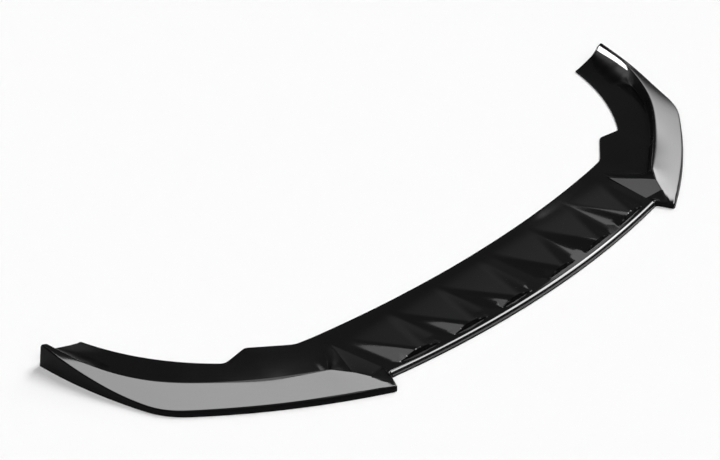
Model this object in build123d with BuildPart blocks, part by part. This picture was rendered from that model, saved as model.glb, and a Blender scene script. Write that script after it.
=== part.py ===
"""Front splitter lip: one thermoformed sheet with two raised side blades and a ribbed centre.

Millimetres, +Z up, the leading edge faces -Y. The underside of the skirt lies on Z = 0.
Plan points are given as X from the middle of the car and Y rearward from the foremost point.
"""
import os
from math import pi, sin

from build123d import *

# Overall size
HALF_WIDTH = 900.0
DEPTH = 565.0

# Sheet and levels
SHEET = 4.0
FLANGE_TOP = 5.0
SKIRT = 13.0
LEAD_TOP = 15.0
BELOW = -10.0

# Centre section
LEAD_RADIUS = 2430.0
LEAD_HALF = 436.0
LEAD_ROUND = 6.0
SLOPE_END = 170.0
CENTRE_LAP = 36.0
SPACE_LAP = 12.0
CENTRE_SIDE = (LEAD_HALF + 14.0, 56.0)
CENTRE_REAR = (LEAD_HALF + CENTRE_LAP, SLOPE_END)
SPACE_REAR = (LEAD_HALF + CENTRE_LAP, SLOPE_END + SPACE_LAP)
REAR_MID = 204.0


def outward(share):
    """X at a share of the way from the end of the leading edge to the outer side."""
    return LEAD_HALF + share * (HALF_WIDTH - LEAD_HALF)


# Rear edge: the end of the centre, the locating tab and the side flange
REAR_END = (outward(0.127), 247.0)
REAR_ROUND = 40.0
TAB_CORNER = (outward(0.304), 313.0)
TAB_INNER = (outward(0.435), 303.0)
TAB_ROUND = 16.0
ARM_MID = (outward(0.640), 421.0)
ARM_END = (outward(0.778), DEPTH)

# Outer edge of the side blade
NOTCH_CORNER = (LEAD_HALF + 18.0, 1.0)
FRONT_MID = (outward(0.440), 112.0)
FRONT_END = (outward(0.838), 262.0)
SIDE_MID = (outward(0.940), 406.0)
CORNER_ROUND = 180.0

# Winglet: the outer wall climbs towards the rear tip
CLIMB_START = 322.0
WINGLET_TOP = 54.0
SKIRT_LEAN = 3.0
WINGLET_LEAN = 8.0

# Crest between the blade and the flange, with its height
PEAK = (outward(0.1875), 121.0, 29.5)
CREST = [
    (outward(0.364), 177.0, 26.0),
    (outward(0.569), 246.0, 28.0),
    (outward(0.750), 326.0, 32.0),
    (outward(0.849), 392.0, 37.0),
    (outward(0.925), 477.0, 45.0),
]
CREST_END = (outward(0.961), DEPTH, 50.0)
WALL_RUN = 7.0
TIP_RUN = 60.0
TURN_UP = 0.72
WALL_LAP = 3.0
STATIONS = 14
EDGE_AT_PEAK = 0.165
STATION_BOW = 0.06

# Inner end of the blade: a ramp falls from a ridge to the centre
RIDGE = (outward(0.125), 86.0, 23.5)
RIDGE_APEX = (LEAD_HALF + 11.0, 198.0)
RIDGE_SHARE = 0.092
NOTCH_SHARE = 0.42
NOTCH_CREST = 14.0
NOTCH_ROUND = 6.0
NOTCH_LAP = 3.0
RAMP_LAP = 12.0
RAMP_SINK = 1.0
SINK = 0.5

# Raised wedges on the centre
RIB_NOSES = [75.0, 209.0, 346.0]
RIB_SPLAY = 9.0
RIB_REAR_HALF = 31.0
RIB_RIDGE_HALF = 8.0
RIB_WIDE_HALF = 64.0
RIB_FRONT_HALF = 22.0
RIB_SKIN = 4.5
RIB_TOP = 24.0
RIB_FRONT = 16.0
RIB_CREST = 25.0
RIB_REAR = 150.0

PLAN = Plane(origin=(0, -DEPTH / 2, 0))


def lead_y(x):
    """Set-back of the leading edge from its foremost point."""
    return x * x / (2 * LEAD_RADIUS)


def centre_top(y):
    """Height of the centre's top face."""
    return max(FLANGE_TOP, LEAD_TOP - (LEAD_TOP - FLANGE_TOP) * y / SLOPE_END)


def edge_top(y):
    """Height of the outer wall's top edge."""
    climb = (WINGLET_TOP - SKIRT) / (DEPTH - CLIMB_START)
    return SKIRT + max(0.0, y - CLIMB_START) * climb


def edge_lean(y):
    """Inward lean of the outer wall at its top edge."""
    share = max(0.0, y - CLIMB_START) / (DEPTH - CLIMB_START)
    return SKIRT_LEAN + (WINGLET_LEAN - SKIRT_LEAN) * share ** 2


def upright(start, toward):
    """Upright plane through a plan point, with its X running to another plan point."""
    along = Vector(toward[0] - start[0], toward[1] - start[1], 0).normalized()
    origin = PLAN.from_local_coords(Vector(start[0], start[1], 0))
    return Plane(origin=origin, x_dir=along, z_dir=along.cross(Vector(0, 0, 1)))


def run(start, end):
    """Distance in plan between two points."""
    return ((end[0] - start[0]) ** 2 + (end[1] - start[1]) ** 2) ** 0.5


def under(a, b, u):
    """Height of the sheet's inner face at u, below the top line a to b."""
    slope = (b[1] - a[1]) / (b[0] - a[0])
    return a[1] + slope * (u - a[0]) - SHEET * (1 + slope * slope) ** 0.5


def meet(a, b, c, d):
    """Where the inner faces below the lines a to b and c to d meet."""
    m = (b[1] - a[1]) / (b[0] - a[0])
    n = (d[1] - c[1]) / (d[0] - c[0])
    u = (under(c, d, 0) - under(a, b, 0)) / (m - n)
    return (u, under(a, b, u))


def skin(edge, crest, foot):
    """Top line of a section: skirt foot, skirt top, crest and inner foot."""
    reach = run(edge, crest)
    return [
        (0.0, 0.0),
        (edge_lean(edge[1]), edge[2]),
        (reach, crest[2]),
        (reach + run(crest, foot), foot[2]),
    ]


def section(points):
    """Closes a section down to the ground."""
    return points + [(points[-1][0], 0.0)]


def hollow(points, level, reach):
    """Section of the space below the sheet, open downwards and past the inner foot."""
    _, top, crest, foot = points
    slope = (foot[1] - crest[1]) / (foot[0] - crest[0])
    inner_foot = crest[0] + (level - under(crest, foot, crest[0])) / slope
    end = max(foot[0], inner_foot) + reach
    return [
        (SHEET, BELOW),
        (SHEET + top[0], under(top, crest, SHEET + top[0])),
        meet(top, crest, crest, foot),
        (inner_foot, level),
        (end, level),
        (end, BELOW),
    ]


# Curves that carry the blade
with BuildLine() as outer_edge:
    front = ThreePointArc(NOTCH_CORNER, FRONT_MID, FRONT_END)
    side = ThreePointArc(FRONT_END, SIDE_MID, (HALF_WIDTH, DEPTH))
    fillet(outer_edge.vertices().sort_by_distance(FRONT_END)[0], CORNER_ROUND)
with BuildLine() as crest_line:
    Spline(PEAK, *CREST, CREST_END)
EDGE = outer_edge.wires()[0]
CREST_WIRE = crest_line.wires()[0]


def station(t):
    """Edge, crest and wall foot of the blade at a share t of its length."""
    s = t - STATION_BOW * sin(pi * t)
    e = EDGE @ (EDGE_AT_PEAK + (1 - EDGE_AT_PEAK) * s)
    c = CREST_WIRE @ t
    inward = Vector(c.X - e.X, c.Y - e.Y, 0).normalized()
    turn = max(0.0, t - TURN_UP) / (1 - TURN_UP)
    reach = WALL_RUN + (TIP_RUN - WALL_RUN) * turn ** 2
    foot = (c.X + inward.X * reach, c.Y + inward.Y * reach, FLANGE_TOP - WALL_LAP)
    return (e.X, e.Y, edge_top(e.Y)), (c.X, c.Y, c.Z), foot


def ramp_foot(crest, toward):
    """Foot of the ramp, carried a little below the centre's top face."""
    drop = centre_top(toward[1]) - RAMP_SINK
    reach = run(crest, toward)
    slope = (drop - crest[2]) / reach
    share = 1 + RAMP_LAP / reach
    return (
        crest[0] + (toward[0] - crest[0]) * share,
        crest[1] + (toward[1] - crest[1]) * share,
        drop + slope * RAMP_LAP,
    )


BLADE = [station(i / STATIONS) for i in range(STATIONS + 1)]
TIP_SHARE = 1 - SHEET / CREST_WIRE.length
BLADE_SPACE = [station(TIP_SHARE * i / STATIONS) for i in range(STATIONS + 1)]
FLANGE_UNDER = FLANGE_TOP - SHEET

# Inner end of the blade: the notch face, the ridge and the peak
LEAD_CORNER = (LEAD_HALF, lead_y(LEAD_HALF))
LEAD_CORNER_TOP = centre_top(LEAD_CORNER[1])
NOTCH_RUN = (LEAD_CORNER[0] - NOTCH_CORNER[0], LEAD_CORNER[1] - NOTCH_CORNER[1])
NOTCH_LENGTH = run(NOTCH_CORNER, LEAD_CORNER)


def notch_point(share, height):
    """Point on the notch face, at a share of the way to the leading edge's end."""
    return (NOTCH_CORNER[0] + NOTCH_RUN[0] * share, NOTCH_CORNER[1] + NOTCH_RUN[1] * share, height)


NOTCH = (
    notch_point(0.0, SKIRT),
    notch_point(NOTCH_SHARE, NOTCH_CREST),
    notch_point(1 + NOTCH_LAP / NOTCH_LENGTH, LEAD_CORNER_TOP - SINK),
)
INTO_BLADE = (SHEET * NOTCH_RUN[1] / NOTCH_LENGTH, -SHEET * NOTCH_RUN[0] / NOTCH_LENGTH)
NOTCH_SPACE = [(x + INTO_BLADE[0], y + INTO_BLADE[1], z) for x, y, z in NOTCH]
NOTCH_MID_EDGE = Vector(NOTCH_CORNER[0], NOTCH_CORNER[1], SKIRT / 2)
RIDGE_EDGE = EDGE @ RIDGE_SHARE
RIDGE_STATION = (
    (RIDGE_EDGE.X, RIDGE_EDGE.Y, SKIRT),
    RIDGE,
    ramp_foot(RIDGE, RIDGE_APEX),
)

# Side blade, from the notch past the peak to the rear tip
with BuildPart() as blade:
    for edge, crest, foot in BLADE:
        with BuildSketch(upright(edge, crest)):
            with BuildLine():
                Polyline(*section(skin(edge, crest, foot)), close=True)
            make_face()
    loft()
with BuildPart() as inner_end:
    for edge, crest, foot in (NOTCH, RIDGE_STATION, BLADE[0]):
        with BuildSketch(upright(edge, crest)):
            with BuildLine():
                Polyline(*section(skin(edge, crest, foot)), close=True)
            make_face()
    loft(ruled=True)
    notch_edge = inner_end.edges().sort_by_distance(PLAN.from_local_coords(NOTCH_MID_EDGE))[0]
    fillet(notch_edge, NOTCH_ROUND)

# Space below the side blade, closed at the notch and at the rear tip
with BuildPart() as blade_space:
    for edge, crest, foot in BLADE_SPACE:
        with BuildSketch(upright(edge, crest)):
            with BuildLine():
                Polyline(*hollow(skin(edge, crest, foot), FLANGE_UNDER, WALL_RUN), close=True)
            make_face()
    loft()
INNER_LEVELS = (LEAD_CORNER_TOP - SHEET, FLANGE_UNDER, FLANGE_UNDER)
with BuildPart() as inner_space:
    for (edge, crest, foot), level in zip((NOTCH_SPACE, RIDGE_STATION, BLADE_SPACE[0]), INNER_LEVELS):
        with BuildSketch(upright(edge, crest)):
            with BuildLine():
                Polyline(*hollow(skin(edge, crest, foot), level, WALL_RUN), close=True)
            make_face()
    loft(ruled=True)

# Flat flange under the bumper, with its two locating tabs
with BuildPart() as flange:
    with BuildSketch(PLAN.offset(FLANGE_UNDER)) as flange_outline:
        with BuildLine():
            rear = ThreePointArc((-REAR_END[0], REAR_END[1]), (0, REAR_MID), REAR_END)
            tab = Polyline(REAR_END, TAB_CORNER, TAB_INNER)
            arm = ThreePointArc(TAB_INNER, ARM_MID, ARM_END)
            rim = Polyline(ARM_END, CREST_END[:2], *[c[:2] for c in reversed(CREST)], PEAK[:2])
            root = Polyline(PEAK[:2], RIDGE[:2], CENTRE_SIDE)
            mirror([tab, arm, rim, root], about=Plane.YZ)
            Line(CENTRE_SIDE, (-CENTRE_SIDE[0], CENTRE_SIDE[1]))
        make_face()
        for corner, radius in ((REAR_END, REAR_ROUND), (TAB_CORNER, TAB_ROUND), (TAB_INNER, TAB_ROUND)):
            for x in (corner[0], -corner[0]):
                fillet(flange_outline.vertices().sort_by_distance((x, corner[1]))[0], radius)
    extrude(amount=SHEET)


def slope_line(drop):
    """Profile above the centre's sloping top face, as Y and Z."""
    front = -DEPTH / 2
    return [
        (front, LEAD_TOP - drop),
        (front + SLOPE_END, FLANGE_TOP - drop),
        (front + 2 * SLOPE_END, FLANGE_TOP - drop),
        (front + 2 * SLOPE_END, LEAD_TOP + 1),
        (front, LEAD_TOP + 1),
    ]


# Sloping centre behind the leading edge
with BuildPart() as centre:
    with BuildSketch(PLAN):
        with BuildLine():
            ThreePointArc((-LEAD_CORNER[0], LEAD_CORNER[1]), (0, 0), LEAD_CORNER)
            turn = Polyline(LEAD_CORNER, CENTRE_SIDE, CENTRE_REAR)
            mirror(turn, about=Plane.YZ)
            Line(CENTRE_REAR, (-CENTRE_REAR[0], CENTRE_REAR[1]))
        make_face()
    extrude(amount=LEAD_TOP)
    with BuildSketch(Plane.YZ.offset(-HALF_WIDTH)):
        with BuildLine():
            Polyline(*slope_line(0), close=True)
        make_face()
    extrude(amount=2 * HALF_WIDTH, mode=Mode.SUBTRACT)
    top_edges = centre.faces().sort_by(Axis.Z)[-1].edges()
    fillet(top_edges.sort_by(SortBy.LENGTH)[-2:].sort_by(Axis.Y)[0], LEAD_ROUND)

# Space below the centre
with BuildPart() as centre_space:
    with BuildSketch(PLAN.offset(BELOW)):
        with BuildLine():
            inner = (LEAD_CORNER[0] - SHEET, LEAD_CORNER[1] + SHEET)
            ThreePointArc((-inner[0], inner[1]), (0, SHEET), inner)
            turn = Polyline(inner, (CENTRE_SIDE[0], CENTRE_SIDE[1] + SHEET), SPACE_REAR)
            mirror(turn, about=Plane.YZ)
            Line(SPACE_REAR, (-SPACE_REAR[0], SPACE_REAR[1]))
        make_face()
    extrude(amount=LEAD_TOP - SHEET - BELOW)
    with BuildSketch(Plane.YZ.offset(-HALF_WIDTH)):
        with BuildLine():
            Polyline(*slope_line(SHEET), close=True)
        make_face()
    extrude(amount=2 * HALF_WIDTH, mode=Mode.SUBTRACT)


def wedge(nose, drop):
    """Sections of a raised wedge at its rear, its crest and its front foot."""
    lead = lead_y(nose)
    rear_y = lead + RIB_REAR
    crest_y = lead + RIB_CREST
    front_y = lead + RIB_FRONT
    rear_z = centre_top(rear_y) - SINK - drop
    front_z = centre_top(front_y) - SINK - drop
    return [
        (nose + RIB_SPLAY, rear_y, RIB_REAR_HALF, RIB_REAR_HALF + rear_z, rear_z),
        (nose, crest_y, RIB_RIDGE_HALF, RIB_WIDE_HALF, RIB_TOP - drop),
        (nose, front_y, RIB_FRONT_HALF, RIB_FRONT_HALF + front_z, front_z),
    ]


with BuildPart() as ribs:
    for nose in RIB_NOSES:
        with BuildPart(mode=Mode.ADD):
            for x, y, top, foot, z in wedge(nose, 0.0):
                with BuildSketch(upright((x, y), (x + 1, y))):
                    with BuildLine():
                        Polyline((-foot, 0), (-top, z), (top, z), (foot, 0), close=True)
                    make_face()
            loft(ruled=True)
    mirror(about=Plane.YZ)
with BuildPart() as rib_space:
    for nose in RIB_NOSES:
        with BuildPart(mode=Mode.ADD):
            for x, y, top, foot, z in wedge(nose, RIB_SKIN):
                with BuildSketch(upright((x, y), (x + 1, y))):
                    with BuildLine():
                        Polyline((-foot, -RIB_SKIN), (-top, z), (top, z), (foot, -RIB_SKIN), close=True)
                    make_face()
            loft(ruled=True)
    mirror(about=Plane.YZ)

# The whole sheet: the raised forms, less the space below them
with BuildPart() as splitter_lip:
    add(blade.part)
    add(inner_end.part)
    mirror(about=Plane.YZ)
    add(flange.part)
    add(centre.part)
    add(ribs.part)
    add(blade_space.part, mode=Mode.SUBTRACT)
    add(inner_space.part, mode=Mode.SUBTRACT)
    add(blade_space.part.mirror(Plane.YZ), mode=Mode.SUBTRACT)
    add(inner_space.part.mirror(Plane.YZ), mode=Mode.SUBTRACT)
    add(centre_space.part, mode=Mode.SUBTRACT)
    add(rib_space.part, mode=Mode.SUBTRACT)

splitter_lip.part.label = "splitter_lip"
os.makedirs("parts", exist_ok=True)
export_step(splitter_lip.part, "parts/splitter_lip.step")
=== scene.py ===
"""Looks of the front splitter lip: a gloss black formed sheet on a pale floor.

The sheet is one smooth mesh, laid out as lines that run from the outer edge, over the crest, to the
rear edge. Plan sizes are millimetres, with X from the middle and Y rearward from the foremost point.
"""

import bpy
import numpy as np
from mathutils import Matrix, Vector


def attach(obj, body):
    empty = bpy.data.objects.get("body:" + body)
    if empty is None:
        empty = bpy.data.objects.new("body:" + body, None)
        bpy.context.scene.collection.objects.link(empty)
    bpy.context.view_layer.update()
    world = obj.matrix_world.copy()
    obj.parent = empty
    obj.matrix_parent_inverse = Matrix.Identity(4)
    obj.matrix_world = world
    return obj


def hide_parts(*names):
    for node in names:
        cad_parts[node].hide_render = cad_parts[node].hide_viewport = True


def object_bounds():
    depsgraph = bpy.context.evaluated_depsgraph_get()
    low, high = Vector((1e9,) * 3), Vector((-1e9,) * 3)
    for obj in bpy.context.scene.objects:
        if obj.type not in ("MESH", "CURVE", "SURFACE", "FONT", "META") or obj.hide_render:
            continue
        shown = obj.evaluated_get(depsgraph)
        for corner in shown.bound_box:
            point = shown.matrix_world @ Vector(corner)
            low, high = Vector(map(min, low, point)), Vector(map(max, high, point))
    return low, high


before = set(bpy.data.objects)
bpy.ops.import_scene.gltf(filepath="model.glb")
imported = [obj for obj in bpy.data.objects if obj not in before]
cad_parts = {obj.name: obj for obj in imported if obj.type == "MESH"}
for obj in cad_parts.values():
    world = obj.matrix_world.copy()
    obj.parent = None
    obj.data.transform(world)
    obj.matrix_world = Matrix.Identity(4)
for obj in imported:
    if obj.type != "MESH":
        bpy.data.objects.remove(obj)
cad_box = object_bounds()

# Overall size and levels, as in the solid
HALF_WIDTH = 900.0
DEPTH = 565.0
SHEET = 4.0
FLANGE = 5.0
SKIRT = 13.0
LEAD_TOP = 15.0
SLOPE_END = 170.0
SLOPE_SOFT = 1.0
MM = 0.001

# Centre section
LEAD_RADIUS = 2430.0
LEAD_HALF = 436.0
LEAD_ROUND = 14.0
REAR_MID = 204.0
NOTCH_OUT = 18.0
NOTCH_Y = 1.0
NOTCH_FILLET = 8.0
NOTCH_ROUND = 6.0
NOTCH_SHARE = 0.3
NOTCH_CREST = 13.3

# Winglet and wall; a pair holds the value where the blade starts to turn up and the value at the tip
CLIMB_START = 330.0
CLIMB_SOFT = 60.0
WINGLET_TOP = 54.0
SKIRT_LEAN = 3.0
WINGLET_LEAN = 8.0
CORNER_ROUND = 180.0
WALL_RUN = 7.0
TIP_LEAN = (1.4, 0.55)
TIP_FOOT = (0.8, 0.5)
LEAN_EASE = 2.8
FOOT_EASE = 6.0
TIP_RISE = 21.0
TIP_RUN = 66.0
TIP_CURVE = 1.15
TURN_UP = 0.72
TIP_ROUND = 7.0

# Raised wedges on the centre
RIB_NOSES = (75.0, 209.0, 346.0)
RIB_SPLAY = 9.0
RIB_REAR_HALF = 58.0
RIB_FRONT_HALF = 10.0
RIB_TOP = 22.5
RIB_FRONT = 18.3
RIB_CREST = 26.0
RIB_REAR = 150.0
RIB_FLANK = 0.26
RIB_STEEP = 2.1
RIB_SINK = 0.5
RIB_SOFT = 3.5
RIB_BLEND = 4.5
RIB_CRISP = 0.25
RIB_FADE = 8.0
# Slope above which a wedge's front takes the satin as painted shade
RIB_SHADE = 0.3

# Rounding of edges; the limits are shares of the stretch that a rounding may take up
EDGE_ROUND = 3.5
END_ROUND = 3.0
REAR_ROUND = 1.8
CREST_OUT = 11.0
CREST_IN = 1.6
FOOT_ROUND = 2.5
RAMP_ROUND = 28.0
BEND_LIMIT = 0.4
FOOT_LIMIT = 0.8
RIM_LIMIT = 0.7
RIM_SPARE = 0.5

# Where the lines over the fold, the ridge and the peak start, as shares of the outer edge
FOLD_SHARE = 0.058
RIDGE_SHARE = 0.092
EDGE_AT_PEAK = 0.165

# Where the same lines end, as distances along the rear edge
FOLD_REAR = 4.0
RIDGE_REAR = 25.0
PEAK_REAR = 66.0

# How far outside the centre the fold line's foot lies, and how the blade's lines crowd along the edge
FOLD_OUT = 2.0
STATION_BOW = 0.06

# Mesh density and welding
ROWS_TOP = 16
ROWS_CREST = 7
ROWS_WALL = 9
ROWS_FOOT = 7
ROWS_FLANGE = 48
LINES_FOLD = 12
LINES_RAMP = 20
LINES_RIDGE = 14
LINES_BLADE = 84
COLUMNS = 168
ROWS_ROUND = 8
CORNER_STEPS = 6
CREASE_ANGLE = 17.0
FIRST_FLAT = ROWS_TOP + ROWS_CREST + ROWS_WALL + ROWS_FOOT
BLADE_LINE = LINES_FOLD + LINES_RAMP + LINES_RIDGE
WELD_DIGITS = 4
ON_MIDDLE = 1e-6

# Spacing of the flange's rows, and of the last lines: distances from the tip and their least gap
ROW_SHARES = (0.55, 0.45)
ROW_POWER = 2.2
TAIL_LINES = (12.0, 9.0, 7.0, 5.5, 4.4, 3.6, 0.0)
LINE_GAP = 0.7

# Lines over which the skirt's lean sets in, and the steps that give an edge's direction
LEAN_LINES = 8
NORMAL_STEP = 0.002
REAR_STEP = 1.0

# Easing across the lines: first line, last line and passes, and how far down the skirt's easing reaches
RIDGE_EASE = (LINES_FOLD + 3, BLADE_LINE + 8, 4)
SKIRT_EASE = (3, BLADE_LINE + 40, 150)
SKIRT_REACH = 1.25

# Number of points on the plan curves
POINTS_EDGE = 480
POINTS_BEND = 160
POINTS_REAR = 20
POINTS_ARM = 80
POINTS_CUT = 8
POINTS_CREST = 400

# Finishes, in the order of the mesh's materials
# The third finish is a near-black satin: painted shade on faces kept from reflecting, and a matte cut
# edge on the rim
GLOSS, MATTE, CUT_AND_SHADE = 0, 1, 2

# Satin faces, painted shade where the gloss is kept from reflecting: beside the notch from a row on,
# behind the ridge until some lines past the peak, then the wall with its foot from one share of the
# blade, and the foot alone from a later one
SHADE_ROW = 3
SHADE_LINES = 18
SHADE_WALL = 0.55
SHADE_FOOT = 0.785


def outward(share):
    """X at a share of the way from the end of the leading edge to the outer side."""
    return LEAD_HALF + share * (HALF_WIDTH - LEAD_HALF)


def vec(*values):
    """A vector from its values."""
    return np.array(values, float)


def unit(v):
    """The same direction at length one."""
    return v / np.linalg.norm(v)


def lead_y(x):
    """Set-back of the leading edge."""
    return x * x / (2 * LEAD_RADIUS)


def soft_max(a, b, k):
    """Larger of two heights, with a rounded meeting."""
    h = np.clip(0.5 + 0.5 * (a - b) / k, 0.0, 1.0)
    return b + (a - b) * h + k * h * (1 - h)


def soft_min(a, b, k):
    """Smaller of two heights, with a rounded meeting."""
    return -soft_max(-a, -b, k)


def plate(y):
    """Height of the centre's top face, falling from the leading edge to the flange."""
    return soft_max(LEAD_TOP - (LEAD_TOP - FLANGE) * y / SLOPE_END, FLANGE, SLOPE_SOFT)


def rib(x, y, nose):
    """Height of a raised wedge (its top, flanks and steep front) and the size of its blend."""
    lead = lead_y(nose)
    rear_z = plate(lead + RIB_REAR) - RIB_SINK
    back = (y - lead - RIB_CREST) / (RIB_REAR - RIB_CREST)
    behind = np.maximum(back, 0.0)
    aside = np.abs(x - nose - RIB_SPLAY * behind)
    half = RIB_FRONT_HALF + (RIB_REAR_HALF - RIB_FRONT_HALF) * behind
    top = RIB_TOP + (rear_z - RIB_TOP) * back
    flank = top - RIB_FLANK * (aside - half)
    front = plate(y) + RIB_STEEP * (y - lead_y(x) - RIB_FRONT)
    blend = RIB_CRISP + (RIB_BLEND - RIB_CRISP) * np.clip(back * RIB_FADE, 0.0, 1.0)
    return soft_min(soft_min(top, flank, RIB_SOFT), front, RIB_CRISP), blend


def centre_height(x, y):
    """Height of the centre with its wedges."""
    z = plate(y)
    for nose in RIB_NOSES:
        height, blend = rib(x, y, nose)
        z = soft_max(z, height, blend)
    return z


def circle(a, b, c):
    """Centre and radius of the circle through three plan points."""
    rows = vec(b[0] - a[0], b[1] - a[1]), vec(c[0] - a[0], c[1] - a[1])
    half = vec(rows[0] @ rows[0], rows[1] @ rows[1]) / 2
    offset = np.linalg.solve(np.array(rows), half)
    return vec(*a) + offset, np.linalg.norm(offset)


def arc(centre, start, end, count):
    """Plan points on the short arc about a centre."""
    a = vec(*start) - centre
    b = vec(*end) - centre
    turn = np.arctan2(a[0] * b[1] - a[1] * b[0], a @ b)
    t = np.linspace(0.0, turn, count + 1)
    x = centre[0] + a[0] * np.cos(t) - a[1] * np.sin(t)
    y = centre[1] + a[0] * np.sin(t) + a[1] * np.cos(t)
    return np.stack([x, y], 1)


def bezier(a, b, c, count):
    """Points of a rounded corner at b, from a to c."""
    t = np.linspace(0.0, 1.0, count + 1)[:, None]
    return a * (1 - t) ** 2 + b * 2 * t * (1 - t) + c * t ** 2


class Path:
    """Points joined into a line that is read by share of its length."""

    def __init__(self, points):
        self.points = np.asarray(points, float)
        steps = np.linalg.norm(np.diff(self.points, axis=0), axis=1)
        self.reach = np.concatenate([[0.0], np.cumsum(steps)])
        self.length = self.reach[-1]

    def at(self, distance):
        return np.stack([np.interp(distance, self.reach, c) for c in self.points.T], -1)

    def share(self, share):
        return self.at(np.asarray(share) * self.length)

    def trimmed(self, head, tail):
        """The same line, shortened at its two ends."""
        inside = (self.reach > head) & (self.reach < self.length - tail)
        return np.vstack([self.at(head), self.points[inside], self.at(self.length - tail)])


def spline(points, count):
    """Smooth curve through points, natural at its ends."""
    p = np.asarray(points, float)
    t = np.concatenate([[0.0], np.cumsum(np.linalg.norm(np.diff(p, axis=0), axis=1))])
    h = np.diff(t)
    n = len(p)
    m = np.zeros((n, n))
    rhs = np.zeros_like(p)
    m[0, 0] = m[-1, -1] = 1.0
    for i in range(1, n - 1):
        m[i, i - 1:i + 2] = h[i - 1], 2 * (h[i - 1] + h[i]), h[i]
        rhs[i] = 6 * ((p[i + 1] - p[i]) / h[i] - (p[i] - p[i - 1]) / h[i - 1])
    bend = np.linalg.solve(m, rhs)
    u = np.linspace(0.0, t[-1], count + 1)
    k = np.clip(np.searchsorted(t, u, side="right") - 1, 0, n - 2)
    a = ((t[k + 1] - u) / h[k])[:, None]
    b = ((u - t[k]) / h[k])[:, None]
    sag = (h[k] ** 2 / 6)[:, None]
    return a * p[k] + b * p[k + 1] + ((a ** 3 - a) * bend[k] + (b ** 3 - b) * bend[k + 1]) * sag


# Plan curves
LEAD_CORNER = vec(LEAD_HALF, lead_y(LEAD_HALF))
NOTCH_CORNER = vec(LEAD_HALF + NOTCH_OUT, NOTCH_Y)
FRONT_MID = vec(outward(0.440), 112.0)
FRONT_END = vec(outward(0.838), 262.0)
SIDE_MID = vec(outward(0.940), 406.0)
TIP = vec(HALF_WIDTH, DEPTH)
PEAK = vec(outward(0.1875), 121.0, 29.5)
CREST = [
    PEAK,
    vec(outward(0.364), 177.0, 26.0),
    vec(outward(0.569), 246.0, 28.0),
    vec(outward(0.750), 326.0, 32.0),
    vec(outward(0.849), 392.0, 37.0),
    vec(outward(0.925), 477.0, 45.0),
    vec(outward(0.961), DEPTH, 50.0),
]
RIDGE = vec(outward(0.125), 86.0, 23.5)
FOLD = vec(outward(0.084), 55.0, 19.5)
RIDGE_APEX = vec(LEAD_HALF + 11.0, 198.0)
REAR_END = vec(outward(0.127), 247.0)
TAB_CORNER = vec(outward(0.304), 313.0)
TAB_INNER = vec(outward(0.435), 303.0)
ARM_MID = vec(outward(0.640), 421.0)
ARM_END = vec(outward(0.778), DEPTH)
REAR_CUTS = (10.3, 7.1, 9.6)
REAR_CENTRE, REAR_RADIUS = circle(-REAR_END * vec(1, -1), vec(0, REAR_MID), REAR_END)


def outer_edge():
    """Front and side arcs of the blade, joined by a rounded corner."""
    c1, r1 = circle(NOTCH_CORNER, FRONT_MID, FRONT_END)
    c2, r2 = circle(FRONT_END, SIDE_MID, TIP)
    a, b = r1 - CORNER_ROUND, r2 - CORNER_ROUND
    gap = np.linalg.norm(c2 - c1)
    along = (a * a - b * b + gap * gap) / (2 * gap)
    u = (c2 - c1) / gap
    side = vec(-u[1], u[0]) * np.sqrt(a * a - along * along)
    choices = [c1 + u * along + side, c1 + u * along - side]
    c3 = min(choices, key=lambda c: np.linalg.norm(c - FRONT_END))
    start = c1 + unit(c3 - c1) * r1
    end = c2 + unit(c3 - c2) * r2
    parts = [
        arc(c1, NOTCH_CORNER, start, POINTS_EDGE),
        arc(c3, start, end, POINTS_BEND)[1:],
        arc(c2, end, TIP, POINTS_EDGE)[1:],
    ]
    return Path(np.vstack(parts))


def centre_rear(x):
    """Rear edge of the centre."""
    return REAR_CENTRE[1] - np.sqrt(REAR_RADIUS ** 2 - (x - REAR_CENTRE[0]) ** 2)


def rear_edge(start_x):
    """Rear edge from the centre, round the locating tab and along the side flange."""
    start = vec(start_x, centre_rear(start_x))
    arm_centre, _ = circle(TAB_INNER, ARM_MID, ARM_END)
    pieces = [
        Path(arc(REAR_CENTRE, start, REAR_END, POINTS_REAR)),
        Path([REAR_END, TAB_CORNER]),
        Path([TAB_CORNER, TAB_INNER]),
        Path(arc(arm_centre, TAB_INNER, ARM_END, POINTS_ARM)),
    ]
    heads = (0.0, *REAR_CUTS)
    tails = (*REAR_CUTS, 0.0)
    out = [p.trimmed(h, t) for p, h, t in zip(pieces, heads, tails)]
    corners = (REAR_END, TAB_CORNER, TAB_INNER)
    points = [out[0]]
    for corner, before, after in zip(corners, out[:-1], out[1:]):
        points.append(bezier(before[-1], corner, after[0], POINTS_CUT)[1:-1])
        points.append(after)
    return Path(np.vstack(points))


EDGE = outer_edge()
CREST_LINE = Path(spline(CREST, POINTS_CREST))


def tip_drop(y):
    """Drop of the winglet's rounded rear corner."""
    back = np.clip((y - DEPTH + END_ROUND) / TIP_ROUND + 1, 0.0, 1.0)
    return TIP_ROUND * (1 - np.sqrt(1 - back ** 2))


def edge_top(y):
    """Height of the skirt, climbing along the winglet."""
    climb = (WINGLET_TOP - SKIRT) / (DEPTH - CLIMB_START)
    return SKIRT + soft_max(0.0, y - CLIMB_START, CLIMB_SOFT) * climb - tip_drop(y)


def edge_lean(y):
    """Lean of the skirt, growing along the winglet."""
    share = max(0.0, y - CLIMB_START) / (DEPTH - CLIMB_START)
    return SKIRT_LEAN + (WINGLET_LEAN - SKIRT_LEAN) * share ** 2


def spread(a, b, count):
    """Evenly spaced points from a up to b, without b."""
    t = np.linspace(0.0, 1.0, count + 1)[:-1, None]
    return a + (b - a) * t


def flange_rows(count):
    """Shares along a flange row: close together where the wedges stand."""
    t = np.linspace(0.0, 1.0, count + 1)
    return ROW_SHARES[0] * t + ROW_SHARES[1] * t ** ROW_POWER


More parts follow.
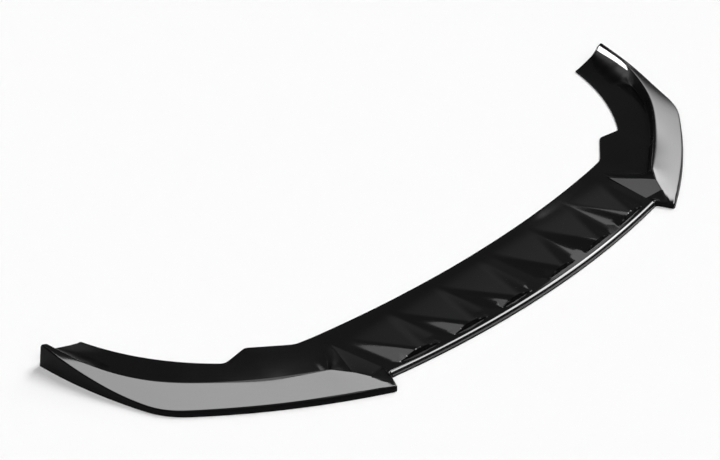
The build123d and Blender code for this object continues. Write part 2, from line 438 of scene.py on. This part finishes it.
def row_line(top, crest, foot, rear, foot_round, rise=0.0):
    """One line of the sheet, from the top of the skirt over the crest to the rear edge."""
    a = unit(crest - top)
    b = unit(foot - crest)
    c = unit(rear - foot)
    if rise > 0.0:
        c = unit(vec(*unit((rear - foot)[:2]), -TIP_CURVE * rise / TIP_RUN))
    out = min(CREST_OUT, BEND_LIMIT * np.linalg.norm(crest - top))
    inn = min(CREST_IN, BEND_LIMIT * np.linalg.norm(foot - crest))
    before = min(foot_round, FOOT_LIMIT * np.linalg.norm(foot - crest))
    after = min(foot_round, BEND_LIMIT * np.linalg.norm(rear - foot))
    crest_bend = bezier(crest - a * out, crest, crest + b * inn, ROWS_CREST)
    foot_bend = bezier(foot - b * before, foot, foot + c * after, ROWS_FOOT)
    shares = flange_rows(ROWS_FLANGE)[:, None]
    flat = foot_bend[-1] + (rear - foot_bend[-1]) * shares
    if rise > 0.0:
        away = np.linalg.norm(flat[:, :2] - foot[:2], axis=1) / TIP_RUN
        flat[:, 2] = FLANGE + rise * np.maximum(0.0, 1 - away) ** TIP_CURVE
    return np.vstack([
        spread(top + a * EDGE_ROUND, crest_bend[0], ROWS_TOP),
        crest_bend[:-1],
        spread(crest_bend[-1], foot_bend[0], ROWS_WALL),
        foot_bend[:-1],
        flat,
    ])


def blade_keys(t):
    """Edge, skirt top, crest, wall foot, foot rounding and foot rise at a share t of the blade."""
    s = t - STATION_BOW * np.sin(np.pi * t)
    e = EDGE.share(EDGE_AT_PEAK + (1 - EDGE_AT_PEAK) * s)
    c = CREST_LINE.share(t)
    inward = unit(c[:2] - e)
    turn = max(0.0, t - TURN_UP) / (1 - TURN_UP)
    rise = TIP_RISE * turn ** 2
    eased = min(1.0, LEAN_EASE * turn)
    lean = TIP_LEAN[0] + (TIP_LEAN[1] - TIP_LEAN[0]) * turn
    reach = WALL_RUN + (lean * (c[2] - FLANGE - rise) - WALL_RUN) * eased
    top = vec(*(e + inward * edge_lean(e[1])), edge_top(e[1]))
    foot = vec(*(c[:2] + inward * reach), FLANGE + rise)
    share = TIP_FOOT[0] + (TIP_FOOT[1] - TIP_FOOT[0]) * turn ** 2
    settled = min(1.0, FOOT_EASE * turn)
    settled *= settled * (3 - 2 * settled)
    foot_round = FOOT_ROUND + (share * np.linalg.norm(foot - c) - FOOT_ROUND) * settled
    c[2] -= tip_drop(c[1])
    return e, top, c, foot, foot_round, rise


# The notch beside the leading edge: its face, with a rounded inside corner
NOTCH_DIRECTION = unit(LEAD_CORNER - NOTCH_CORNER)
NOTCH_NORMAL = vec(-NOTCH_DIRECTION[1], NOTCH_DIRECTION[0])
LEAD_NORMAL = unit(vec(LEAD_CORNER[0] / LEAD_RADIUS, -1.0))
FILLET_CENTRE = LEAD_CORNER + (
    (LEAD_NORMAL + NOTCH_NORMAL) * NOTCH_FILLET / (1 + LEAD_NORMAL @ NOTCH_NORMAL)
)
SIDE_X = (FILLET_CENTRE - LEAD_NORMAL * NOTCH_FILLET)[0]
REAR = rear_edge(SIDE_X)
FRONT_STEP = EDGE.at(1.0) - EDGE.at(0.0)
FRONT_NORMAL = unit(vec(FRONT_STEP[1], -FRONT_STEP[0]))
CORNER_CENTRE = NOTCH_CORNER - (
    (FRONT_NORMAL + NOTCH_NORMAL) * NOTCH_ROUND / (1 + FRONT_NORMAL @ NOTCH_NORMAL)
)


def column(x):
    """A line of the centre, from behind the leading edge to the rear edge."""
    rear = centre_rear(x) - REAR_ROUND
    front = lead_y(x) + LEAD_ROUND
    y = front + (rear - front) * flange_rows(ROWS_FLANGE)
    return np.stack([np.full_like(y, x), y, centre_height(x, y)], 1)


def turned(start, end, count):
    """Unit vectors turning from one plan direction to another."""
    return [unit(start * (1 - t) + end * t) for t in np.linspace(0.0, 1.0, count + 1)]


def notch_line():
    """The first line of the inner end: along the notch face, then back along the centre."""
    rows = ROWS_CREST + ROWS_WALL + ROWS_FOOT
    width = np.linalg.norm(LEAD_CORNER - NOTCH_CORNER)
    crest = NOTCH_CORNER + NOTCH_DIRECTION * NOTCH_SHARE * width
    faces = [(CORNER_CENTRE + NOTCH_NORMAL * NOTCH_ROUND, NOTCH_NORMAL, SKIRT)]
    faces.append((crest, NOTCH_NORMAL, NOTCH_CREST))
    lead_z = plate(LEAD_CORNER[1])
    for n in turned(NOTCH_NORMAL, LEAD_NORMAL, CORNER_STEPS):
        faces.append((FILLET_CENTRE - n * NOTCH_FILLET, n, lead_z))
    face = Path([f[0] for f in faces])
    head = face.reach[1]
    on_skirt = np.linspace(0.0, head, ROWS_TOP + 1)[:-1]
    beyond = np.linspace(head, face.length, rows + 1)
    reach = np.concatenate([on_skirt, beyond])
    edge = face.at(reach)
    normal = np.stack([np.interp(reach, face.reach, [f[1][k] for f in faces]) for k in (0, 1)], 1)
    normal /= np.linalg.norm(normal, axis=1)[:, None]
    height = np.interp(reach, face.reach, [f[2] for f in faces])
    inset = np.interp(reach, [0.0, face.reach[2], face.length], [NOTCH_ROUND, EDGE_ROUND, LEAD_ROUND])
    top = edge - normal * inset[:, None]
    back = column(SIDE_X)
    top[-1] = back[0, :2]
    height[-1] = plate(lead_y(SIDE_X))
    level = height.copy()
    level[-1] = back[0, 2]
    line = np.vstack([np.column_stack([top, level])[:-1], back])
    return line, np.column_stack([edge, height]), normal


def ridge_line():
    """The line over the ridge, down the ramp's rear edge."""
    e = EDGE.share(RIDGE_SHARE)
    top = vec(*(e + unit(RIDGE[:2] - e) * SKIRT_LEAN), SKIRT)
    foot = vec(*RIDGE_APEX, plate(RIDGE_APEX[1]))
    rear = vec(*REAR.at(RIDGE_REAR), FLANGE)
    return row_line(top, RIDGE, foot, rear - vec(0, REAR_ROUND, 0), RAMP_ROUND)


def fold_line():
    """The line over the crest's front fold, down to the end of the leading edge."""
    e = EDGE.share(FOLD_SHARE)
    top = vec(*(e + unit(FOLD[:2] - e) * SKIRT_LEAN), SKIRT)
    foot_y = lead_y(SIDE_X) + 2 * LEAD_ROUND
    foot = vec(SIDE_X + FOLD_OUT, foot_y, plate(foot_y))
    rear = vec(*REAR.at(FOLD_REAR), FLANGE)
    return row_line(top, FOLD, foot, rear - vec(0, REAR_ROUND, 0), FOOT_ROUND)


def smooth_lines(grid, first, last, passes):
    """Eases the folds that run along the lines first to last."""
    out = grid.copy()
    for _ in range(passes):
        eased = 0.25 * out[:-2] + 0.5 * out[1:-1] + 0.25 * out[2:]
        out[first:last] = eased[first - 1:last - 1]
    return out


def edge_normal(share):
    """Outward plan direction of the outer edge."""
    ahead = EDGE.share(min(share + NORMAL_STEP, 1.0))
    step = ahead - EDGE.share(max(share - NORMAL_STEP, 0.0))
    return unit(vec(step[1], -step[0]))


def inner_end_edge():
    """Skirt foot and skirt top for the lines from the notch to the peak."""
    turn = np.arccos(FRONT_NORMAL @ NOTCH_NORMAL)
    start = NOTCH_ROUND * np.tan(turn / 2) / EDGE.length
    marks = (start, FOLD_SHARE, RIDGE_SHARE, EDGE_AT_PEAK)
    counts = (LINES_FOLD, LINES_RAMP, LINES_RIDGE)
    shares = [np.linspace(a, b, n + 1)[:-1] for a, b, n in zip(marks[:-1], marks[1:], counts)]
    shares = np.concatenate(shares)
    feet = EDGE.share(shares)
    lean = SKIRT_LEAN * np.minimum(1.0, np.arange(len(shares)) / LEAN_LINES)
    tops = [vec(*(f - edge_normal(s) * k), SKIRT) for f, s, k in zip(feet, shares, lean)]
    return list(feet), tops


def side_grid():
    """All lines of one side, with the foot and top of the skirt for each."""
    first, _, _ = notch_line()
    feet, tops = inner_end_edge()
    lines = []
    tail = vec(*TAIL_LINES) / CREST_LINE.length
    even = np.linspace(0.0, 1.0 - 2 * tail[0] + tail[1], LINES_BLADE)
    for t in np.concatenate([even, 1.0 - tail]):
        e, top, crest, foot, foot_round, rise = blade_keys(t)
        d = PEAK_REAR + (REAR.length - PEAK_REAR) * t
        step = REAR.at(min(d + REAR_STEP, REAR.length)) - REAR.at(max(d - REAR_STEP, 0.0))
        n = unit(vec(-step[1], step[0]))
        rear = vec(*(REAR.at(d) - n * REAR_ROUND), FLANGE)
        lines.append(row_line(top, crest, foot, rear, foot_round, rise))
        feet.append(e)
        tops.append(top)
    fold, ridge = fold_line(), ridge_line()
    grid = [first + (fold - first) * k / LINES_FOLD for k in range(LINES_FOLD)]
    grid += [fold + (ridge - fold) * k / LINES_RAMP for k in range(LINES_RAMP)]
    grid += [ridge + (lines[0] - ridge) * k / LINES_RIDGE for k in range(LINES_RIDGE)]
    grid = np.array(grid + lines)
    grid = smooth_lines(grid, *RIDGE_EASE)
    eased = smooth_lines(grid, *SKIRT_EASE)
    share = np.clip(SKIRT_REACH - np.arange(grid.shape[1]) / ROWS_TOP, 0.0, 1.0)[:, None]
    grid += (eased - grid) * share * share * (3 - 2 * share)
    inner = grid[1:BLADE_LINE, FIRST_FLAT:]
    inner[..., 2] = plate(inner[..., 1])
    # No line may pass the one behind it, or the sheet would fold over at the tip
    limit = DEPTH - END_ROUND - LINE_GAP * np.arange(len(grid))[::-1]
    grid[..., 1] = np.minimum(grid[..., 1], limit[:, None])
    grid[-1, :, 1] = DEPTH - END_ROUND
    return grid, np.array(feet), np.array(tops)


def rim_of(grid, feet, tops, columns):
    """The sheet's edge all round one half: rim point, corner, foot and inner foot of each station."""
    rim = []

    def put(top, corner, foot, inner=None):
        """Adds a station; without an inner foot the edge is solid."""
        rim.append((top, corner, foot, foot if inner is None else inner))

    def skirt(top, edge, z, normal):
        """Adds a station of a skirt that reaches the ground."""
        foot = vec(edge[0], edge[1], 0.0)
        put(top, vec(edge[0], edge[1], z), foot, foot - vec(*normal, 0.0) * SHEET)

    # Leading edge
    for line in columns:
        x = line[0, 0]
        skirt(line[0], (x, lead_y(x)), plate(lead_y(x)), unit(vec(x / LEAD_RADIUS, -1.0)))
    # Notch face and its outer corner
    _, face, normals = notch_line()
    for j in range(len(face) - 2, -1, -1):
        skirt(grid[0, j], face[j], face[j, 2], normals[j])
    for n in turned(NOTCH_NORMAL, FRONT_NORMAL, CORNER_STEPS)[1:-1]:
        skirt(grid[0, 0], CORNER_CENTRE + n * NOTCH_ROUND, SKIRT, n)
    # Outer edge
    last = vec(0.0, END_ROUND)
    for i, (foot, top) in enumerate(zip(feet, tops)):
        back = last if i == len(feet) - 1 else vec(0.0, 0.0)
        step = feet[min(i + 1, len(feet) - 1)] - feet[max(i - 1, 0)]
        n = unit(vec(step[1], -step[0]))
        low = vec(*(foot - back), 0.0)
        put(grid[i, 0], vec(*(top[:2] - back), top[2]), low, low - vec(*n, 0.0) * SHEET)
    # Rear corner and rear end of the winglet
    tip = grid[-1, 0]
    rear_way = vec(0.0, 1.0)
    turns = turned(n, rear_way, CORNER_STEPS)
    for k in range(1, CORNER_STEPS):
        z = tops[-1, 2] + (tip[2] - tops[-1, 2]) * k / CORNER_STEPS
        swing = turns[k] * END_ROUND
        corner = tops[-1, :2] - vec(END_ROUND, END_ROUND) + swing
        low = vec(*(feet[-1] - vec(END_ROUND, END_ROUND) + swing), 0.0)
        put(tip, vec(*corner, z), low, low - vec(*turns[k], 0.0) * SHEET)
    for j, p in enumerate(grid[-1]):
        hollow = j < FIRST_FLAT
        low = vec(p[0], DEPTH, 0.0 if hollow else FLANGE - SHEET)
        put(p, vec(p[0], DEPTH, p[2]), low, low - vec(0.0, SHEET, 0.0) if hollow else None)
    # Rear edge of the flange, from the arm's corner to the middle
    ends = np.vstack([grid[::-1, -1, :2], [line[-1, :2] for line in columns[-2::-1]]])
    step = np.gradient(ends, axis=0)
    normal = np.stack([step[:, 1], -step[:, 0]], 1)
    normal /= np.linalg.norm(normal, axis=1)[:, None]
    normal[-1] = 0.0, 1.0
    low_z = FLANGE - SHEET
    for way in turned(rear_way, normal[0], CORNER_STEPS)[1:-1]:
        corner = grid[-1, -1, :2] + way * REAR_ROUND
        put(grid[-1, -1], vec(*corner, FLANGE), vec(*corner, low_z))
    for line, n in zip([*grid[::-1], *columns[-2::-1]], normal):
        corner = line[-1, :2] + n * REAR_ROUND
        put(line[-1], vec(*corner, FLANGE), vec(*corner, low_z))
    return rim


class Shell:
    """Gathers faces, sharing vertices that lie on the same point."""

    def __init__(self):
        self.points = []
        self.faces = []
        self.finish = []
        self.known = {}

    def vertex(self, p):
        """Number of the vertex at a point."""
        key = tuple(round(float(value), WELD_DIGITS) for value in p)
        if key not in self.known:
            self.known[key] = len(self.points)
            self.points.append(key)
        return self.known[key]

    def face(self, corners, finish):
        """Adds a face, unless its corners fall together."""
        ids = list(dict.fromkeys(corners))
        if len(ids) > 2:
            self.faces.append(ids)
            self.finish.append(finish)

    def patch(self, grid, finish, shade_picks=None):
        """Adds a grid of points as quads; the picker, if given, chooses the quads that take the
        near-black satin: painted shade, and on the rim a matte cut edge.
        """
        ids = [[self.vertex(p) for p in line] for line in grid]
        for i, (a, b) in enumerate(zip(ids[:-1], ids[1:])):
            for j in range(len(a) - 1):
                kind = CUT_AND_SHADE if shade_picks and shade_picks(i, j) else finish
                self.face([a[j], b[j], b[j + 1], a[j + 1]], kind)


def normals_of(shell):
    """Upward normals of the sheet's vertices, level across the middle."""
    p = np.array(shell.points)
    n = np.zeros_like(p)
    for ids in shell.faces:
        a, b, c, d = p[ids[0]], p[ids[1]], p[ids[2]], p[ids[-1]]
        n[ids] += np.cross(c - a, d - b)
    n[np.abs(p[:, 0]) < ON_MIDDLE, 0] = 0.0
    return n / np.linalg.norm(n, axis=1)[:, None]


def shade_wall(i, j):
    """Picks the satin faces that paint shade: beside the notch, behind the ridge and at the winglet's
    foot.
    """
    if i < LINES_FOLD:
        return ROWS_TOP + SHADE_ROW <= j < FIRST_FLAT
    if i > BLADE_LINE + SHADE_FOOT * LINES_BLADE:
        return FIRST_FLAT - ROWS_FOOT <= j < FIRST_FLAT
    behind = LINES_FOLD + LINES_RAMP <= i < BLADE_LINE + SHADE_LINES
    behind = behind or i > BLADE_LINE + SHADE_WALL * LINES_BLADE
    return behind and ROWS_TOP + ROWS_CREST <= j < FIRST_FLAT


def cut_and_shade_rim(i, j):
    """Picks the rim's satin faces, a matte cut edge and painted shade: below the rounding in front,
    nearly all of it elsewhere.
    """
    return j < (1 if i < COLUMNS else ROWS_ROUND - 1)


def steep_faces(columns):
    """Picks the faces on the wedges' steep fronts, which the satin paints dark as shade."""
    def picks(i, j):
        a, b = columns[i], columns[i + 1]
        rise = max(a[j + 1, 2] - a[j, 2], b[j + 1, 2] - b[j, 2])
        return rise > RIB_SHADE * (a[j + 1, 1] - a[j, 1])
    return picks


def half_shell():
    """One half of the lip as a closed shell, open only on the middle plane."""
    columns = [column(x) for x in np.linspace(0.0, SIDE_X, COLUMNS + 1)]
    grid, feet, tops = side_grid()
    columns[-1] = grid[0, FIRST_FLAT:]
    shell = Shell()
    shell.patch(columns, GLOSS, steep_faces(columns))
    shell.patch(grid, GLOSS, shade_wall)
    normals = normals_of(shell)
    under = np.array(shell.points) - normals * SHEET
    under[:, 2] = np.maximum(under[:, 2], FLANGE - SHEET)
    inner = [shell.vertex(p) for p in under]
    for ids in list(shell.faces):
        shell.face([inner[k] for k in reversed(ids)], MATTE)
    strips, backs = [], []
    for top, corner, foot, back in rim_of(grid, feet, tops, columns):
        drop = foot - corner
        size = min(LEAD_ROUND, RIM_LIMIT * np.linalg.norm(drop))
        size = min(size, np.linalg.norm((top - corner)[:2]) + RIM_SPARE)
        bend = bezier(top, corner, corner + unit(drop) * size, ROWS_ROUND)
        strips.append(np.vstack([bend, foot]))
        hidden = shell.points[inner[shell.vertex(top)]]
        backs.append(np.vstack([foot, back, hidden]))
    shell.patch([s[::-1] for s in strips], GLOSS, cut_and_shade_rim)
    shell.patch([b[::-1] for b in backs], MATTE)
    return shell


def lip_mesh(name):
    """Both halves joined into one mesh, in metres."""
    half = half_shell()
    whole = Shell()
    for side in (1.0, -1.0):
        ids = [whole.vertex((side * x, y, z)) for x, y, z in half.points]
        for corners, finish in zip(half.faces, half.finish):
            order = corners if side > 0 else corners[::-1]
            whole.face([ids[k] for k in order], finish)
    points = (np.array(whole.points) - vec(0.0, DEPTH / 2, 0.0)) * MM
    points = np.clip(points, *np.array(cad_box))
    mesh = bpy.data.meshes.new(name)
    mesh.from_pydata(points.tolist(), [], whole.faces)
    mesh.polygons.foreach_set("material_index", whole.finish)
    mesh.polygons.foreach_set("use_smooth", [True] * len(whole.faces))
    mesh.update()
    mesh.set_sharp_from_angle(angle=np.radians(CREASE_ANGLE))
    return mesh


# Finishes in the material order: gloss, matte underside, then the near-black satin, which is painted
# shade on faces kept from reflecting and a matte cut edge on the rim.
# Patches and grain are each a noise's scale and detail: the patches move the roughness through its
# range, and the grain makes bumps.
FINISHES = {
    "gloss_black": {
        "colour": (0.005, 0.005, 0.0054, 1.0),
        "specular": 0.9,
        "patches": (9.0, 6.0),
        "roughness": (0.085, 0.125),
        "grain": (160.0, 2.0),
        "bumps": 0.02,
    },
    "matte_underside": {
        "colour": (0.014, 0.014, 0.015, 1.0),
        "specular": 0.5,
        "patches": (25.0, 4.0),
        "roughness": (0.55, 0.7),
        "grain": (900.0, 3.0),
        "bumps": 0.35,
    },
    # Near-black satin with little specular: painted shade where the gloss should show no reflection,
    # and a matte cut edge on the rim
    "satin_edge_and_shade": {
        "colour": (0.0025, 0.0025, 0.0028, 1.0),
        "specular": 0.06,
        "patches": (60.0, 4.0),
        "roughness": (0.3, 0.4),
        "grain": (500.0, 2.0),
        "bumps": 0.1,
    },
}
NOISE_SPAN = (0.3, 0.7)
BUMP_HEIGHT = 0.0004


def shader(name):
    """A new material with its nodes and its main shader's inputs."""
    material = bpy.data.materials.new(name)
    material.use_nodes = True
    return material, material.node_tree, material.node_tree.nodes["Principled BSDF"].inputs


def noise(tree, scale, detail):
    """Noise over the part's own coordinates."""
    place = tree.nodes.new("ShaderNodeTexCoord")
    node = tree.nodes.new("ShaderNodeTexNoise")
    node.inputs["Scale"].default_value = scale
    node.inputs["Detail"].default_value = detail
    tree.links.new(place.outputs["Object"], node.inputs["Vector"])
    return node.outputs["Fac"]


def vary(tree, value, low, high, socket):
    """Lets a noise move a shader's socket between two values."""
    node = tree.nodes.new("ShaderNodeMapRange")
    node.inputs["From Min"].default_value = NOISE_SPAN[0]
    node.inputs["From Max"].default_value = NOISE_SPAN[1]
    node.inputs["To Min"].default_value = low
    node.inputs["To Max"].default_value = high
    tree.links.new(value, node.inputs["Value"])
    tree.links.new(node.outputs["Result"], socket)


def roughen(tree, value, strength, socket):
    """Small bumps in the surface."""
    bump = tree.nodes.new("ShaderNodeBump")
    bump.inputs["Strength"].default_value = strength
    bump.inputs["Distance"].default_value = BUMP_HEIGHT
    tree.links.new(value, bump.inputs["Height"])
    tree.links.new(bump.outputs["Normal"], socket)


def black(name, colour, specular, patches, roughness, grain, bumps):
    """One of the lip's black finishes."""
    material, tree, inputs = shader(name)
    inputs["Base Color"].default_value = colour
    inputs["Specular IOR Level"].default_value = specular
    vary(tree, noise(tree, *patches), *roughness, inputs["Roughness"])
    roughen(tree, noise(tree, *grain), bumps, inputs["Normal"])
    return material


def add(name, data):
    """A new object in the scene."""
    obj = bpy.data.objects.new(name, data)
    bpy.context.scene.collection.objects.link(obj)
    return obj


lip = add("lip_shell", lip_mesh("lip_shell"))
for finish_name, finish_values in FINISHES.items():
    lip.data.materials.append(black(finish_name, **finish_values))
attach(lip, "root")
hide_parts("splitter_lip")

# Floor
FLOOR_HALF = 40.0
FLOOR_COLOUR = (0.95, 0.95, 0.95, 1.0)
FLOOR_ROUGHNESS = 0.9
floor_mesh = bpy.data.meshes.new("floor")
floor_corners = [(-FLOOR_HALF, -FLOOR_HALF, 0), (FLOOR_HALF, -FLOOR_HALF, 0)]
floor_corners += [(FLOOR_HALF, FLOOR_HALF, 0), (-FLOOR_HALF, FLOOR_HALF, 0)]
floor_mesh.from_pydata(floor_corners, [], [(0, 1, 2, 3)])
floor = add("floor", floor_mesh)
floor_material, _, floor_inputs = shader("floor")
floor_inputs["Base Color"].default_value = FLOOR_COLOUR
floor_inputs["Roughness"].default_value = FLOOR_ROUGHNESS
floor_inputs["Specular IOR Level"].default_value = 0.0
floor_mesh.materials.append(floor_material)

# Camera, as solved from the photo
CAMERA_PLACE = (-2.332, -2.038, 2.1305)
CAMERA_WAY = (0.5872, 0.5821, -0.5625)
CAMERA_LENS = 85.0
CAMERA_SENSOR = 36.0


def facing(way):
    """Turn of a camera or lamp that looks along a direction."""
    return Vector(way).to_track_quat("-Z", "Y").to_euler()


camera_data = bpy.data.cameras.new("camera")
camera_data.lens = CAMERA_LENS
camera_data.sensor_width = CAMERA_SENSOR
camera = add("camera", camera_data)
camera.location = CAMERA_PLACE
camera.rotation_euler = facing(CAMERA_WAY)
bpy.context.scene.camera = camera

# Soft boxes of the world: azimuth and elevation from and to, margin (all in degrees) and brightness
SOFT_BOXES = {
    "lead": (-25.0, 18.0, 40.0, 66.0, 4.0, 9.0),
    "plate": (38.0, 52.0, 8.0, 30.0, 5.0, 0.1),
    "left": (145.0, 179.0, 40.0, 75.0, 8.0, 1.8),
    "front": (-179.0, -70.0, 30.0, 75.0, 8.0, 1.7),
}
STUDIO_DARK = 0.03

# The side box grows brighter with elevation
SIDE_BOX = (2.0, 23.0, 0.0, 46.0, 3.0)
SIDE_RISE = (0.0, 34.0)
SIDE_POWER = 2.2
SIDE_LEVEL = 5.5

# Lamps that only the gloss shows: place, the point they face and size in metres, and brightness
LAMPS = {
    "blade_lamp": ((-0.735, 0.35, 1.2), (-0.735, 0.35, 0.0), (1.23, 0.7), 4.3),
    "inner_lamp": ((0.14, 0.225, 1.2), (0.14, 0.225, 0.0), (0.52, 0.45), 4.3),
    "rib_lamp": ((0.115, 0.75, 1.2), (0.115, 0.75, 0.0), (0.53, 0.5), 0.9),
    "tip_lamp": ((0.05, 1.07, 0.46), (0.9, 0.815, 0.08), (0.72, 0.86), 18.0),
    "ramp_lamp": ((0.84, 0.24, 0.6), (0.46, -0.18, 0.0), (0.22, 0.26), 0.9),
}


class World:
    """Node helpers for the studio world."""

    def __init__(self, name):
        world = bpy.data.worlds.new(name)
        bpy.context.scene.world = world
        world.use_nodes = True
        self.nodes = world.node_tree.nodes
        self.links = world.node_tree.links

    def math(self, kind, a, b=None):
        """A calculation with one or two values, each a number or a socket."""
        node = self.nodes.new("ShaderNodeMath")
        node.operation = kind
        for socket, value in zip(node.inputs, (a, b)):
            if isinstance(value, (int, float)):
                socket.default_value = value
            elif value is not None:
                self.links.new(value, socket)
        return node.outputs["Value"]

    def ramp(self, value, start, end, kind="SMOOTHSTEP"):
        """A value that grows from nought to one between start and end."""
        node = self.nodes.new("ShaderNodeMapRange")
        node.interpolation_type = kind
        node.inputs["From Min"].default_value = start
        node.inputs["From Max"].default_value = end
        self.links.new(value, node.inputs["Value"])
        return node.outputs["Result"]

    def span(self, value, low, high, margin):
        """One between low and high, falling to nought over the margin."""
        rise = self.ramp(value, low - margin, low + margin)
        fall = self.math("SUBTRACT", 1.0, self.ramp(value, high - margin, high + margin))
        return self.math("MULTIPLY", rise, fall)


def studio():
    """The world: its brightness in each direction is the sum of the soft boxes."""
    w = World("studio")
    place = w.nodes.new("ShaderNodeTexCoord")
    axes = w.nodes.new("ShaderNodeSeparateXYZ")
    w.links.new(place.outputs["Generated"], axes.inputs["Vector"])
    azimuth = w.math("DEGREES", w.math("ARCTAN2", axes.outputs["Y"], axes.outputs["X"]))
    elevation = w.math("DEGREES", w.math("ARCSINE", axes.outputs["Z"]))
    rise = w.ramp(elevation, *SIDE_RISE, "LINEAR")
    side = w.math("MULTIPLY", w.math("POWER", rise, SIDE_POWER), SIDE_LEVEL)
    low, high, bottom, top, margin = SIDE_BOX
    side = w.math("MULTIPLY", side, w.span(azimuth, low, high, margin))
    side = w.math("MULTIPLY", side, w.span(elevation, bottom, top, margin))
    total = w.math("ADD", side, STUDIO_DARK)
    for low, high, bottom, top, margin, level in SOFT_BOXES.values():
        across = w.span(azimuth, low, high, margin)
        box = w.math("MULTIPLY", across, w.span(elevation, bottom, top, margin))
        total = w.math("ADD", total, w.math("MULTIPLY", box, level))
    w.links.new(total, w.nodes["Background"].inputs["Strength"])
    w.nodes["Background"].inputs["Color"].default_value = (1.0, 1.0, 1.0, 1.0)


def panel(name, place, target, size, level):
    """A soft lamp of even brightness, turned to a point and seen only in the gloss."""
    data = bpy.data.lights.new(name, "AREA")
    data.shape = "RECTANGLE"
    data.size, data.size_y = size
    data.energy = level * np.pi * size[0] * size[1]
    lamp = add(name, data)
    lamp.location = place
    lamp.rotation_euler = facing(Vector(target) - Vector(place))
    lamp.visible_camera = False
    lamp.visible_diffuse = False


studio()
for lamp_name, lamp_values in LAMPS.items():
    panel(lamp_name, *lamp_values)
bpy.context.scene.view_settings.view_transform = "Standard"
